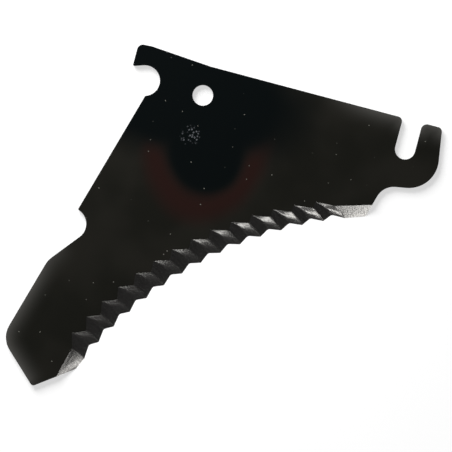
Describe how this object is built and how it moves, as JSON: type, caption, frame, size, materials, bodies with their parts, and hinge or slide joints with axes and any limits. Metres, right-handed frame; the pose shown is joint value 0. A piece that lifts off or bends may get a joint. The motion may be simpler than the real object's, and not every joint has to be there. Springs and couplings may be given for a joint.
{
  "type": "forage harvester knife",
  "caption": "Flat sickle-shaped knife with a serrated cutting edge, a hooked end and an open pivot slot, for chopping crop in a forage harvester or loader wagon.",
  "frame": {"origin": "centre of the pivot slot's round seat, on the flat side of the plate that the knife lies on", "axes": "+X along the straight back from the hook towards the arm, +Y from the cutting edge towards the back, +Z out of the ground side"},
  "size_m": [0.3127, 0.2994, 0.005],
  "materials": {
    "black_coated_steel": "semi-gloss black coating, with the cutting bevel ground bare"
  },
  "bodies": {
    "root": {"knife_blade": "black_coated_steel"}
  },
  "joints": []
}
